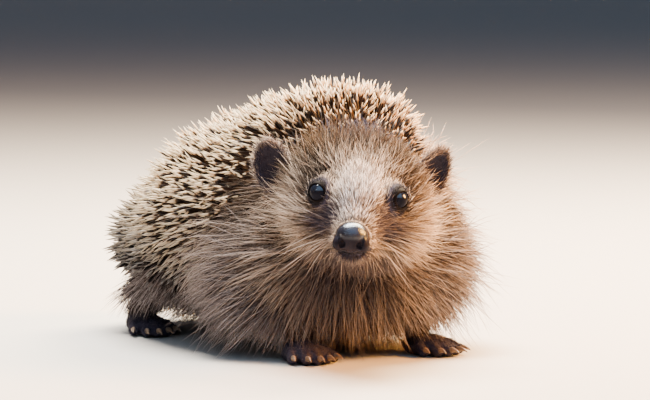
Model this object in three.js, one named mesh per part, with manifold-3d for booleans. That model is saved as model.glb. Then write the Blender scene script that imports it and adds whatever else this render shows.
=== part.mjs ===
// A European hedgehog (Erinaceus europaeus), life size, standing on its four feet with its head turned
// to its own right. The solids hold the animal's outline out to the tips of its quills and fur: the head
// with its lower jaw, nose, eyes and ears, the neck and the trunk, each parted where the quilled mantle
// ends and the fur begins, a short tail, and four legs with their feet and twenty claws.
//
// Millimetres, +Z up. The head end is towards -Y, the animal's left is +X, and its soles stand on Z = 0.

import * as THREE from "three";
import { mergeVertices } from "three/addons/utils/BufferGeometryUtils.js";
import Module from "manifold-3d";

const wasm = await Module();
wasm.setup();

// ---------------------------------------------------------------- driving dimensions

const GAP = 0.3; // between touching pieces
const SIDES = { left: 1, right: -1 };

// Lengths on the head, the ears and the feet are in their own frames: forward, to the side, and up.
const HEAD = {
  centre: [-7.1, -57.9, 54.1], // midway between the ears
  turn: 32, // degrees, to the animal's right
  droop: 8, // degrees, nose down
  lean: 5, // degrees, the left ear lower
};
const SKULL = {
  case: { at: [0, 0, 2], radii: [20, 22, 15] },
  cheek: { at: [9, -10, -4], radii: [9, 15, 9] },
  brow: { at: [0, -18, 3.5], radii: [11, 14, 8.5] },
  muzzle: { from: [0, -22, -1], to: [0, -44, -4.4], radii: [9.3, 4.4] },
};
const JAW = {
  bone: { from: [0, -6, -11], to: [0, -39, -9.3], radii: [7, 2.7] },
  throat: { at: [0, -8, -10], radii: [12, 13, 6] },
  axis: { root: [0, -14, -11], tip: [0, -36, -9] },
};
const NECK = { pivot: [-3.4, -43.8, 49], front: [-6, -47, 51], rise: 14 }; // the front cut leans back
const TRUNK = { chest: [0, -9, 46], rump: [0, 52, 38] }; // the ends of the trunk's axis
const MASSES = {
  barrel: { at: [0, 12, 40], radii: [36.5, 42, 28] },
  shoulders: { at: [4.5, -17, 54], radii: [27.5, 34, 24] }, // pushed out on the left by the bend of the neck
  chest: { at: [4, -23, 32], radii: [34, 33, 21] },
  rump: { at: [0, 47, 29], radii: [33, 35, 19] },
  neck: { at: [-5, -41, 47], radii: [17, 22, 21] },
};
const MELT = { skull: 6, jaw: 5, socket: 2, torso: 12, neck: 10 }; // how softly masses join

const QUILL_DEPTH = 13; // how far the quills stand off the skin
const FUR_DEPTH = { nose: 0.8, face: 2.6, cheek: 5, ruff: 12, belly: 4.5 };
const FRINGE = { flank: 27, shoulder: 62, brow: 82, rump: 24, parting: 62 }; // heights where quills end

const EYE = { forward: 25, side: 12.3, up: 5.6, radius: 3.3 };
const SOCKET = { forward: 27.4, side: 15.7, up: 5.8, radii: [4.2, 4.6, 4.2] };
const NOSE = { forward: 48.6, up: -2.4, radii: [5.1, 4.3, 4.6] };
const NOSTRIL = { forward: 51.3, side: 3.5, up: -3.2, radii: [1.5, 1.9, 1.3] };
const EAR = { height: 20, width: 15.6, cup: 4.2, wall: 1.3, root: 0.315, tilt: 8, clearing: [8, 20] };
const EARS = {
  left: { side: 21, back: 1.4, up: 1.6, lean: 14, turn: 48 }, // turned edge-on to the way the head faces
  right: { side: 28, back: 1.6, up: -0.9, lean: 14, turn: 27 },
};

const FORE = { heel: [22, -39], knee: [25, -25, 30], length: 22, width: 16, turn: 6, claw: 6 };
const HIND = { heel: [30, 65], knee: [30, 29, 27], length: 35, width: 14, turn: 12, claw: 7 };
const SHANK = { knee: 9.5, ankle: 5.6, ankle_up: 7, ankle_forward: 0.16 };
const PALM = { middle: 0.42, wide: 0.46, long: 0.5, up: 2.6, deep: 4.6, axis_up: 3, axis: [0.2, 0.65] };
const TOES = { count: 5, radius: 2.1, root: 0.6, step: 0.17, fan: 0.11, arch: 0.075, reach: 0.2, over: 3.4 };
const CLAW = { radius: 1.15, curl: 55, sharpness: 0.9, outer: 0.08, lift: 0.5, start: 0.6, level: 0.42 };
const TAIL = { root: [0, 79, 27], tip: [2, 100, 13], radii: [4.6, 2] };

// ---------------------------------------------------------------- colours

const finish = (color, roughness) => new THREE.MeshStandardMaterial({ color, roughness, metalness: 0 });
const COATS = {
  quills: finish(0xb9a88c, 0.75),
  fur: finish(0x8f765a, 0.95),
  face: finish(0xa48a70, 0.95),
  ear: finish(0x3b3230, 0.8),
  paw: finish(0x6d5a50, 0.7),
  claw: finish(0x8a7b6a, 0.45),
  nose: finish(0x17151a, 0.3),
  eye: finish(0x08080a, 0.08),
};

// ---------------------------------------------------------------- distance fields

// A field gives a point's distance from a surface, in mm, below zero inside.
const vector = (list) => new THREE.Vector3(...list);
const clamp01 = (x) => Math.min(1, Math.max(0, x));

function rise(from, to, x) {
  const t = clamp01((x - from) / (to - from));
  return t * t * (3 - 2 * t);
}

function ellipsoid(centre, radii) {
  const [cx, cy, cz] = centre;
  const [rx, ry, rz] = radii;
  return (p) => {
    const [x, y, z] = [(p.x - cx) / rx, (p.y - cy) / ry, (p.z - cz) / rz];
    const scaled = Math.hypot(x, y, z);
    const slope = Math.hypot(x / rx, y / ry, z / rz);
    return slope === 0 ? -Math.min(rx, ry, rz) : (scaled * (scaled - 1)) / slope;
  };
}

// A limb from a to b whose radius runs from ra to rb.
function limb(a, b, ra, rb) {
  const start = vector(a);
  const run = vector(b).sub(start);
  return (p) => {
    const t = clamp01(p.clone().sub(start).dot(run) / run.lengthSq());
    return p.distanceTo(start.clone().addScaledVector(run, t)) - ra - (rb - ra) * t;
  };
}

// The masses melt into each other over a width of about k.
function blend(k, ...fields) {
  return (p) =>
    fields.map((field) => field(p)).reduce((a, b) => {
      const h = clamp01(0.5 + (0.5 * (b - a)) / k);
      return b + (a - b) * h - k * h * (1 - h);
    });
}

function hollow(k, field, cutter) {
  return (p) => {
    const [a, b] = [field(p), -cutter(p)];
    const h = clamp01(0.5 - (0.5 * (a - b)) / k);
    return b + (a - b) * (1 - h) + k * h * (1 - h);
  };
}

const inFrame = (matrix, field) => {
  const inverse = matrix.clone().invert();
  return (p) => field(p.clone().applyMatrix4(inverse));
};

// ---------------------------------------------------------------- the head's own frame

// In it, X is the animal's left, -Y is forward and Z is up, with the origin between the ears.
const degrees = THREE.MathUtils.degToRad;
const headFrame = new THREE.Matrix4()
  .makeRotationFromEuler(new THREE.Euler(degrees(HEAD.droop), degrees(HEAD.lean), degrees(-HEAD.turn), "ZXY"))
  .setPosition(vector(HEAD.centre));
const headInverse = headFrame.clone().invert();
const faceForward = new THREE.Vector3(0, -1, 0).transformDirection(headFrame);

// How far back a point lies along the bent body: its Y on the trunk, counted on through the neck.
function stationOf(p) {
  const pivot = vector(NECK.pivot);
  const level = new THREE.Vector3(faceForward.x, faceForward.y, 0).normalize();
  const onHead = NECK.pivot[1] - p.clone().sub(pivot).dot(level);
  const bisector = level.clone().add(new THREE.Vector3(0, -1, 0)).normalize();
  const behind = rise(-20, 20, -p.clone().sub(pivot).dot(bisector));
  return onHead + (p.y - onHead) * behind;
}

// An ear's own frame: its leaf stands along Z from the root, and opens towards -Y.
function earFrame({ side, back, up, lean, turn }, s) {
  const angles = new THREE.Euler(degrees(EAR.tilt), degrees(lean * s), degrees(turn * s), "ZYX");
  const place = new THREE.Matrix4().makeRotationFromEuler(angles).setPosition(side * s, back, up);
  return headFrame.clone().multiply(place);
}

const earCentres = Object.entries(SIDES).map(([side, s]) =>
  new THREE.Vector3(0, 0, EAR.height * EAR.root).applyMatrix4(earFrame(EARS[side], s)),
);

// ---------------------------------------------------------------- the coat

// The height at which quills give way to fur: low along the flank, up behind the shoulder, over the
// ear, and across the brow.
function fringeHeight(station) {
  const shoulder = (FRINGE.shoulder - FRINGE.flank) * (1 - rise(-29, -9, station));
  const brow = (FRINGE.brow - FRINGE.shoulder) * (1 - rise(-63, -53, station));
  const rump = (FRINGE.rump - FRINGE.flank) * rise(23, 83, station);
  return FRINGE.flank + shoulder + brow + rump;
}

// Short on the muzzle, longer over the cheeks into the ruff, thin under the belly and round the ears.
function coatDepth(p) {
  const station = stationOf(p);
  const muzzle = (FUR_DEPTH.face - FUR_DEPTH.nose) * rise(-105, -89, station);
  const cheek = (FUR_DEPTH.cheek - FUR_DEPTH.face) * rise(-87, -67, station);
  const ruff = (FUR_DEPTH.ruff - FUR_DEPTH.cheek) * rise(-57, -39, station);
  const belly = (FUR_DEPTH.belly - FUR_DEPTH.ruff) * (1 - rise(8, 20, p.z)) * rise(-63, -45, station);
  const fur = FUR_DEPTH.nose + muzzle + cheek + ruff + belly;
  const quilled = rise(-7, 7, p.z - fringeHeight(station));
  const depth = fur + (QUILL_DEPTH - fur) * quilled;
  const ears = earCentres.map((centre) => rise(...EAR.clearing, p.distanceTo(centre)));
  return FUR_DEPTH.face + (depth - FUR_DEPTH.face) * Math.min(...ears);
}

// ---------------------------------------------------------------- flesh

const mass = ({ at, radii }) => ellipsoid(at, radii);
const pair = ({ at: [x, y, z], radii }) => [1, -1].map((s) => ellipsoid([x * s, y, z], radii));
const tapered = ({ from, to, radii }) => limb(from, to, ...radii);

const { case: braincase, cheek, brow, muzzle } = SKULL;
const skull = blend(MELT.skull, mass(braincase), ...pair(cheek), mass(brow), tapered(muzzle));
const sockets = pair({ at: [SOCKET.side, -SOCKET.forward, SOCKET.up], radii: SOCKET.radii });
const face = sockets.reduce((flesh, socket) => hollow(MELT.socket, flesh, socket), skull);
const torso = blend(MELT.torso, ...Object.values(MASSES).map(mass));
const body = blend(MELT.neck, torso, inFrame(headFrame, face));
const jawInPlace = inFrame(headFrame, blend(MELT.jaw, tapered(JAW.bone), mass(JAW.throat)));

// The surface at the tips of the coat, pushed out by a further gap where a neighbour is cut by it.
const coated = (field, gap = 0) => (p) => field(p) - coatDepth(p) - gap;

// ---------------------------------------------------------------- wrapping a surface round an axis

// Where a ray from inside a field leaves it.
function leave(field, origin, direction) {
  const at = (r) => origin.clone().addScaledVector(direction, r);
  let inner = 0;
  let outer = 0.5;
  while (field(at(outer)) < 0) {
    inner = outer;
    outer += Math.max(0.5, -0.7 * field(at(outer)));
  }
  for (let i = 0; i < 18; i++) {
    const middle = (inner + outer) / 2;
    if (field(at(middle)) < 0) inner = middle;
    else outer = middle;
  }
  return at(inner);
}

// A station is a place on the axis with the way the axis runs there. Its tilt, in radians, turns its
// rays from square across the axis (0) to straight along it (a pole, at a quarter turn).
const station = (origin, along, tilt = 0) => ({ origin, along, tilt });

function domeStations(origin, along, rings, backwards) {
  const tilts = Array.from({ length: rings }, (_, i) => ((i + 1) / rings) * (Math.PI / 2));
  const made = tilts.map((tilt) => station(origin, along, backwards ? -tilt : tilt));
  return backwards ? made.reverse() : made;
}

// Stations along a straight run of axis, whose planes turn from one way to the other.
function runStations(from, to, rings, startAlong = null, endAlong = startAlong) {
  const straight = to.clone().sub(from).normalize();
  const [first, last] = [startAlong ?? straight, endAlong ?? straight];
  return Array.from({ length: rings + 1 }, (_, i) => {
    const t = i / rings;
    return station(from.clone().lerp(to, t), first.clone().lerp(last, t).normalize());
  });
}

const UP = new THREE.Vector3(0, 0, 1);
const QUARTER = Math.PI / 2;

// Casts a ring of rays from each station, and closes both ends at a pole or with a flat cap.
function wrap(field, stations, sides, up = UP) {
  const points = [];
  const rings = stations.map(({ origin, along, tilt }) => {
    const first = points.length;
    if (Math.abs(tilt) > QUARTER - 1e-6) {
      points.push(leave(field, origin, along.clone().multiplyScalar(Math.sign(tilt))));
      return [first];
    }
    const across = new THREE.Vector3().crossVectors(along, up).normalize();
    const upward = new THREE.Vector3().crossVectors(across, along);
    for (let i = 0; i < sides; i++) {
      const angle = (i / sides) * 2 * Math.PI;
      const radial = across.clone().multiplyScalar(Math.cos(angle)).addScaledVector(upward, Math.sin(angle));
      const ray = radial.multiplyScalar(Math.cos(tilt)).addScaledVector(along, Math.sin(tilt));
      points.push(leave(field, origin, ray));
    }
    return Array.from({ length: sides }, (_, i) => first + i);
  });
  return stitch(points, closedRings(points, rings, stations));
}

// Adds the centre point of a flat cap where an end isn't a pole.
function closedRings(points, rings, stations) {
  const cap = (origin) => [points.push(origin.clone()) - 1];
  const start = rings[0].length > 1 ? [cap(stations[0].origin)] : [];
  const end = rings.at(-1).length > 1 ? [cap(stations.at(-1).origin)] : [];
  return [...start, ...rings, ...end];
}

// Joins each ring of point numbers to the next one, and turns the result to face outwards.
function stitch(points, rings) {
  const faces = [];
  rings.slice(1).forEach((ring, k) => {
    const before = rings[k];
    const sides = Math.max(ring.length, before.length);
    for (let i = 0; i < sides; i++) {
      const j = (i + 1) % sides;
      const [a, b] = [before[i % before.length], before[j % before.length]];
      const [c, d] = [ring[i % ring.length], ring[j % ring.length]];
      if (a !== b) faces.push(a, b, d);
      if (c !== d) faces.push(a, d, c);
    }
  });
  return solid(points, faces);
}

function solid(points, faces) {
  const made = manifoldOf(new Float32Array(points.flatMap((p) => [p.x, p.y, p.z])), new Uint32Array(faces));
  if (made.volume() > 0) return made;
  const turned = faces.map((_, i) => faces[i - (i % 3) + (2 - (i % 3))]);
  return manifoldOf(new Float32Array(points.flatMap((p) => [p.x, p.y, p.z])), new Uint32Array(turned));
}

function manifoldOf(vertProperties, triVerts) {
  return new wasm.Manifold(new wasm.Mesh({ numProp: 3, vertProperties, triVerts }));
}

// A three.js geometry as a solid, in the frame of a matrix.
function solidOf(geometry, matrix) {
  const bare = geometry.clone().applyMatrix4(matrix);
  bare.deleteAttribute("normal");
  bare.deleteAttribute("uv");
  const merged = mergeVertices(bare, 1e-4);
  return manifoldOf(new Float32Array(merged.attributes.position.array), new Uint32Array(merged.index.array));
}

// ---------------------------------------------------------------- the scene graph

const hedgehog = new THREE.Group();

function addMesh(name, made, material) {
  const { vertProperties, triVerts } = made.getMesh();
  const geometry = new THREE.BufferGeometry()
    .setAttribute("position", new THREE.BufferAttribute(vertProperties, 3))
    .setIndex(new THREE.BufferAttribute(triVerts, 1));
  geometry.computeVertexNormals();
  const mesh = new THREE.Mesh(geometry, material);
  mesh.name = name;
  hedgehog.add(mesh);
}

// A wide slab that follows the fringe line, used to part the quilled top from the furred underside.
function fringeBlock(above) {
  const [across, steps, front, rear] = [80, 40, -75, 115];
  const stations = Array.from({ length: steps + 1 }, (_, i) => front + (i / steps) * (rear - front));
  const far = above ? 130 : -20;
  const shift = above ? GAP / 2 : -GAP / 2;
  const outline = new THREE.Shape();
  stations.forEach((y, i) => {
    const height = Math.min(fringeHeight(y), FRINGE.parting) + shift;
    outline[i ? "lineTo" : "moveTo"](y, height);
  });
  outline.lineTo(rear, far);
  outline.lineTo(front, far);
  const slab = new THREE.ExtrudeGeometry(outline, { depth: 2 * across, bevelEnabled: false });
  const stand = new THREE.Matrix4().makeBasis(new THREE.Vector3(0, 1, 0), UP, new THREE.Vector3(1, 0, 0));
  return solidOf(slab, stand.setPosition(-across, 0, 0));
}

// What is left of a piece outside the head, neck and trunk, with the gap.
function clearOfBody(made) {
  return largest(tightBody.reduce((left, cutter) => left.subtract(cutter), made));
}

function largest(made) {
  return made.decompose().reduce((a, b) => (a.volume() > b.volume() ? a : b));
}

// ---------------------------------------------------------------- neck and trunk

const levelForward = new THREE.Vector3(faceForward.x, faceForward.y, 0).normalize();
const headPlane = levelForward.clone().addScaledVector(UP, Math.tan(degrees(NECK.rise))).normalize();
const neckFront = vector(NECK.front);
const neckBack = vector(TRUNK.chest);
const trunkAlong = vector(TRUNK.rump).sub(neckBack).normalize();

const neckStations = runStations(neckFront, neckBack, 5, headPlane.clone().negate(), trunkAlong);
const trunkStart = neckBack.clone().addScaledVector(trunkAlong, GAP);
const trunkStations = [
  ...runStations(trunkStart, vector(TRUNK.rump), 8),
  ...domeStations(vector(TRUNK.rump), trunkAlong, 7),
];

const tipsOfCoat = coated(body);
const upperBlock = fringeBlock(true);
const lowerBlock = fringeBlock(false);
const neck = wrap(tipsOfCoat, neckStations, 32);
const trunk = wrap(tipsOfCoat, trunkStations, 32);
addMesh("nape", neck.intersect(upperBlock), COATS.quills);
addMesh("throat", neck.intersect(lowerBlock), COATS.fur);
addMesh("back", trunk.intersect(upperBlock), COATS.quills);
addMesh("belly", trunk.intersect(lowerBlock), COATS.fur);

// ---------------------------------------------------------------- head, jaw, nose, eyes and ears

const muzzleEnd = vector(SKULL.muzzle.to).applyMatrix4(headFrame);
const headStart = neckFront.clone().addScaledVector(headPlane, GAP);
const muzzleAlong = muzzleEnd.clone().sub(headStart).normalize();
const headStations = [
  ...runStations(headStart, muzzleEnd, 14, headPlane, muzzleAlong),
  ...domeStations(muzzleEnd, muzzleAlong, 4),
];
const headCoat = wrap(tipsOfCoat, headStations, 28);
const tightBody = [
  [headStations, 28],
  [neckStations, 32],
  [trunkStations, 32],
].map(([stations, sides]) => wrap(coated(body, GAP), stations, sides));

const ballFor = (centre, radii, across, tall) => {
  const ball = new THREE.SphereGeometry(1, across, tall).scale(...radii);
  return solidOf(ball, headFrame.clone().multiply(new THREE.Matrix4().makeTranslation(...centre)));
};
const grown = (radii, by) => radii.map((r) => r + by);

const noseAt = [0, -NOSE.forward, NOSE.up];
let head = headCoat.subtract(ballFor(noseAt, grown(NOSE.radii, GAP), 14, 8));
let nose = ballFor(noseAt, NOSE.radii, 14, 8);
for (const [side, s] of Object.entries(SIDES)) {
  const nostrilAt = [NOSTRIL.side * s, -NOSTRIL.forward, NOSTRIL.up];
  nose = nose.subtract(ballFor(nostrilAt, NOSTRIL.radii, 8, 4));
  const eyeAt = [EYE.side * s, -EYE.forward, EYE.up];
  head = head.subtract(ballFor(eyeAt, Array(3).fill(EYE.radius + GAP), 12, 8));
  addMesh(`eye_${side}`, ballFor(eyeAt, Array(3).fill(EYE.radius), 12, 8), COATS.eye);
}
addMesh("head", head, COATS.face);
addMesh("nose", nose, COATS.nose);

const jawRoot = vector(JAW.axis.root).applyMatrix4(headFrame);
const jawTip = vector(JAW.axis.tip).applyMatrix4(headFrame);
const jawRun = jawTip.clone().sub(jawRoot).normalize();
const jawStations = [
  ...domeStations(jawRoot, jawRun, 3, true),
  ...runStations(jawRoot, jawTip, 6),
  ...domeStations(jawTip, jawRun, 3),
];
const chin = wrap(coated(jawInPlace), jawStations, 12);
addMesh("lower_jaw", clearOfBody(chin), COATS.face);

// An ear is a cupped leaf with a rounded tip, thinner at its rim.
function earLeaf() {
  const [rings, sides] = [4, 16];
  const points = [];
  const leaf = (radius, angle, back) => {
    const tall = (EAR.height / 2) * (1 + 0.08 * Math.sin(angle));
    const x = radius * (EAR.width / 2) * Math.cos(angle);
    const z = radius * tall * Math.sin(angle) + EAR.height * EAR.root;
    const dish = EAR.cup * (1 - radius * radius);
    return new THREE.Vector3(x, dish + (back ? EAR.wall * (1.1 - 0.35 * radius) : 0), z);
  };
  const ring = (radius, back) => {
    const first = points.length;
    const count = radius === 0 ? 1 : sides;
    for (let i = 0; i < count; i++) points.push(leaf(radius, (i / sides) * 2 * Math.PI, back));
    return Array.from({ length: count }, (_, i) => first + i);
  };
  const radii = Array.from({ length: rings + 1 }, (_, i) => i / rings);
  const front = radii.map((r) => ring(r, false));
  const rear = radii.map((r) => ring(r, true)).reverse();
  return stitch(points, [...front, ...rear]);
}

for (const [side, s] of Object.entries(SIDES)) {
  const leaf = earLeaf().transform(earFrame(EARS[side], s).elements);
  addMesh(`ear_${side}`, clearOfBody(leaf), COATS.ear);
}

// ---------------------------------------------------------------- tail

const tailRun = vector(TAIL.tip).sub(vector(TAIL.root)).normalize();
const tailField = limb(TAIL.root, TAIL.tip, ...TAIL.radii);
const tailStations = [
  ...domeStations(vector(TAIL.root), tailRun, 2, true),
  ...runStations(vector(TAIL.root), vector(TAIL.tip), 4),
  ...domeStations(vector(TAIL.tip), tailRun, 2),
];
addMesh("tail", clearOfBody(wrap(tailField, tailStations, 9)), COATS.fur);

// ---------------------------------------------------------------- legs, feet and claws

const GROUND = new THREE.BoxGeometry(400, 400, 60);
const groundBlock = solidOf(GROUND, new THREE.Matrix4().makeTranslation(0, 0, -30));

// A foot in its own frame: heel at the origin, toes towards -Y, sole on Z = 0.
function footPieces({ length, width, claw }) {
  const spans = [width * PALM.wide, length * PALM.long, PALM.deep];
  const palm = ellipsoid([0, -length * PALM.middle, PALM.up], spans);
  const [rear, front] = PALM.axis.map((part) => new THREE.Vector3(0, -length * part, PALM.axis_up));
  const forward = new THREE.Vector3(0, -1, 0);
  const palmStations = [
    ...domeStations(rear, forward, 2, true),
    ...runStations(rear, front, 2),
    ...domeStations(front, forward, 2),
  ];
  let foot = wrap(palm, palmStations, 10);
  const claws = [];
  for (let i = 0; i < TOES.count; i++) {
    const fan = i - (TOES.count - 1) / 2;
    const reach = length * TOES.root * (1 - TOES.arch * fan * fan);
    const root = new THREE.Vector3(fan * width * TOES.step, -reach, PALM.axis_up);
    const way = new THREE.Vector3(fan * TOES.fan, -1, 0).normalize();
    const tip = root.clone().addScaledVector(way, length * TOES.reach + TOES.over);
    tip.z = TOES.radius * 0.8; // a little under its radius, so that the toe rests on a flat
    foot = foot.add(toe(root, tip));
    claws.push(clawFrom(tip, way, claw * (1 - CLAW.outer * Math.abs(fan))));
  }
  return { foot, claws };
}

function toe(root, tip) {
  const run = tip.clone().sub(root).normalize();
  const field = limb(root.toArray(), tip.toArray(), TOES.radius * 0.9, TOES.radius);
  const stations = [
    ...domeStations(root, run, 1, true),
    ...runStations(root, tip, 1),
    ...domeStations(tip, run, 2),
  ];
  return wrap(field, stations, 6);
}

// A claw bends down from the end of its toe, and tapers along an arc to its point.
function clawFrom(tip, way, length) {
  const [rings, sides] = [3, 4];
  const points = [];
  const across = new THREE.Vector3().crossVectors(way, UP).normalize();
  const bend = degrees(CLAW.curl);
  const level = bend * CLAW.level; // how far along its arc the claw points straight ahead
  const radius = length / bend;
  const made = Array.from({ length: rings + 1 }, (_, k) => {
    const turn = (k / rings) * bend - level;
    const forward = CLAW.start + radius * (Math.sin(turn) + Math.sin(level));
    const lift = CLAW.lift + radius * (Math.cos(turn) - Math.cos(level));
    const centre = tip.clone().addScaledVector(way, forward).addScaledVector(UP, lift);
    const ahead = way.clone().multiplyScalar(Math.cos(turn)).addScaledVector(UP, -Math.sin(turn));
    const normal = new THREE.Vector3().crossVectors(across, ahead);
    const thick = CLAW.radius * (1 - CLAW.sharpness * (k / rings) ** 1.4);
    const first = points.length;
    for (let i = 0; i < sides; i++) {
      const angle = (i / sides) * 2 * Math.PI;
      const round = across.clone().multiplyScalar(Math.cos(angle)).addScaledVector(normal, Math.sin(angle));
      points.push(centre.clone().addScaledVector(round, thick));
    }
    return Array.from({ length: sides }, (_, i) => first + i);
  });
  const centreOf = (ring) => {
    const sum = ring.reduce((total, n) => total.add(points[n]), new THREE.Vector3());
    return [points.push(sum.divideScalar(ring.length)) - 1];
  };
  return stitch(points, [centreOf(made[0]), ...made, centreOf(made.at(-1))]);
}

// The foot, larger by the gap all round, to cut what meets it.
function grownFoot(plan) {
  const middle = [0, -plan.length * PALM.middle, 0];
  const grow = new THREE.Matrix4()
    .makeTranslation(...middle)
    .scale(new THREE.Vector3(1 + (2 * GAP) / plan.width, 1 + (2 * GAP) / plan.length, 1 + GAP / PALM.up))
    .multiply(new THREE.Matrix4().makeTranslation(...middle.map((x) => -x)));
  return footPieces(plan).foot.transform(grow.elements);
}

function addLeg(kind, side, s, plan) {
  const place = new THREE.Matrix4()
    .makeRotationZ(degrees(plan.turn * s))
    .setPosition(plan.heel[0] * s, plan.heel[1], 0);
  const { foot, claws } = footPieces(plan);
  const footCutter = grownFoot(plan).transform(place.elements);
  const knee = vector(plan.knee).multiply(new THREE.Vector3(s, 1, 1));
  const ankle = new THREE.Vector3(0, -plan.length * SHANK.ankle_forward, SHANK.ankle_up).applyMatrix4(place);
  const run = ankle.clone().sub(knee).normalize();
  const shank = limb(knee.toArray(), ankle.toArray(), SHANK.knee, SHANK.ankle);
  const stations = [
    ...domeStations(knee, run, 2, true),
    ...runStations(knee, ankle, 4),
    ...domeStations(ankle, run, 3),
  ];
  const leg = wrap(shank, stations, 12).subtract(footCutter);
  const standing = foot.transform(place.elements).subtract(groundBlock);
  addMesh(`${kind}leg_${side}`, clearOfBody(leg), COATS.fur);
  addMesh(`${kind}foot_${side}`, clearOfBody(standing), COATS.paw);
  claws.forEach((claw, i) => {
    const nail = largest(claw.transform(place.elements).subtract(footCutter).subtract(groundBlock));
    addMesh(`claw_${kind}_${side}_${i + 1}`, nail, COATS.claw);
  });
}

for (const [side, s] of Object.entries(SIDES)) {
  addLeg("fore", side, s, FORE);
  addLeg("hind", side, s, HIND);
}

export default hedgehog;
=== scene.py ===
import math

import bpy
import numpy as np
import openvdb
from mathutils import Matrix, Vector
from mathutils.kdtree import KDTree


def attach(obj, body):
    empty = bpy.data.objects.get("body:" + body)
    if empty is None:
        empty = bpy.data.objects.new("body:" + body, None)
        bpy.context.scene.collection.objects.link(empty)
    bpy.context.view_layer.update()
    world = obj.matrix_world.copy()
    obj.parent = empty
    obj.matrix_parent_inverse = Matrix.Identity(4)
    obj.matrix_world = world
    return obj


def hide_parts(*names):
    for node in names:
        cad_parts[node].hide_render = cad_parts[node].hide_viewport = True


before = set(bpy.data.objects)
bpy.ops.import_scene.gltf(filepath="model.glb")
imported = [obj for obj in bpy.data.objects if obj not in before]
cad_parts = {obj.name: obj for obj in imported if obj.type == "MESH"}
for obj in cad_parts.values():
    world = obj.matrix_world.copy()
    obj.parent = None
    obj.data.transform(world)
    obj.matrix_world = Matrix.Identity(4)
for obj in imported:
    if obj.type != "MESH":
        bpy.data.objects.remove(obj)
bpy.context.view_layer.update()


# ---------------------------------------------------------------- the hide
# The bare hide over the whole body, from the rims of the ears to the soles: thin skin on bone and
# muscle. Its masses are distance fields in millimetres that melt into one closed surface, and it
# stands for every flesh node of the frame.

MM = 0.001


def turned(*steps):
    """The rotation that makes each turn, such as ("Z", -32), in the frame left by the one before."""
    made = np.eye(3)
    for axis, degrees in steps:
        made = made @ np.array(Matrix.Rotation(math.radians(degrees), 3, axis))
    return made


def nested(place, turn, origin):
    """The place, a rotation and an origin, that is given in another place's own frame."""
    return place[0] @ turn, place[0] @ np.array(origin) + place[1]


def local(place, p):
    """Points p, three arrays of coordinates, in a place's own frame."""
    turn, origin = place
    offset = [p[i] - origin[i] for i in range(3)]
    return [sum(turn[j, i] * offset[j] for j in range(3)) for i in range(3)]


def rise(low, high, x):
    t = np.clip((x - low) / (high - low), 0, 1)
    return t * t * (3 - 2 * t)


def length_of(p):
    return np.sqrt(p[0] * p[0] + p[1] * p[1] + p[2] * p[2])


def ellipsoid(p, centre, radii):
    q = [(p[i] - centre[i]) / radii[i] for i in range(3)]
    scaled = length_of(q)
    slope = length_of([q[i] / radii[i] for i in range(3)]) + 1e-6
    return scaled * (scaled - 1) / slope


def limb(p, a, b, ra, rb):
    run = [b[i] - a[i] for i in range(3)]
    offset = [p[i] - a[i] for i in range(3)]
    reach = sum(offset[i] * run[i] for i in range(3)) / sum(r * r for r in run)
    t = np.clip(reach, 0, 1)
    return length_of([offset[i] - run[i] * t for i in range(3)]) - ra - (rb - ra) * t


def blend(k, a, b):
    h = np.clip(0.5 + 0.5 * (b - a) / k, 0, 1)
    return b + (a - b) * h - k * h * (1 - h)


def hollow(k, field, cutter):
    return -blend(k, -field, cutter)


HEAD = (turned(("Z", -32), ("X", 8), ("Y", 5)), np.array([-7.1, -57.9, 54.1]))
EYE_AT, EYE_RADIUS = (12.3, -25.0, 5.6), 3.3
GAZES = {1: (0.76, -0.64, 0.10), -1: (-0.48, -0.87, 0.12)}  # the way the left and the right eye look
NOSE_AT, NOSE_RADII = (0.0, -48.6, -2.4), (5.1, 4.3, 4.6)
NECK = np.array([-3.4, -43.8, 49.0])
MASSES = {
    "barrel": ((0, 12, 40), (36.5, 42, 28)),
    "shoulders": ((4.5, -17, 54), (27.5, 34, 24)),
    "chest": ((4, -23, 32), (34, 33, 21)),
    "rump": ((0, 47, 29), (33, 35, 19)),
    "neck": ((-5, -41, 47), (17, 22, 21)),
}
EAR_HEIGHT, EAR_WIDTH, EAR_CUP, EAR_WALL = 17.6, 13.6, 4.2, 1.2
EAR_MIDDLE = 6.3  # how far the middle of an ear's leaf is above its root
EAR_PLACES = {
    "left": nested(HEAD, turned(("Z", 48), ("Y", 14), ("X", 8)), (21.0, 1.4, 1.6)),
    "right": nested(HEAD, turned(("Z", -27), ("Y", -14), ("X", 8)), (-28.0, 1.6, -0.9)),
}
FORE = {"heel": (22, -39), "knee": (25, -25, 30), "length": 22, "width": 16, "turn": 6, "claw": 6}
HIND = {"heel": (30, 65), "knee": (30, 29, 27), "length": 35, "width": 14, "turn": 12, "claw": 7}
LEGS = {(kind, side): plan for kind, plan in (("fore", FORE), ("hind", HIND)) for side in (1, -1)}


def foot_place(plan, side):
    return turned(("Z", plan["turn"] * side)), np.array([plan["heel"][0] * side, plan["heel"][1], 0.0])


def toes(plan):
    """Each toe's root, tip and way ahead, in the foot's own frame."""
    for fan in range(-2, 3):
        root = np.array([fan * plan["width"] * 0.17, -plan["length"] * 0.6 * (1 - 0.075 * fan * fan), 3.0])
        way = np.array([fan * 0.11, -1.0, 0.0]) / math.hypot(fan * 0.11, 1)
        tip = root + way * (plan["length"] * 0.2 + 3.4)
        tip[2] = 1.9
        yield fan, root, tip, way


def eye_place(side):
    """An eye's own frame: Z looks out of the head, X runs along the lids."""
    gaze = Vector(GAZES[side]).normalized()
    turn = np.array(gaze.to_track_quat("Z", "Y").to_matrix())
    return nested(HEAD, turn, (EYE_AT[0] * side, *EYE_AT[1:]))


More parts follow.
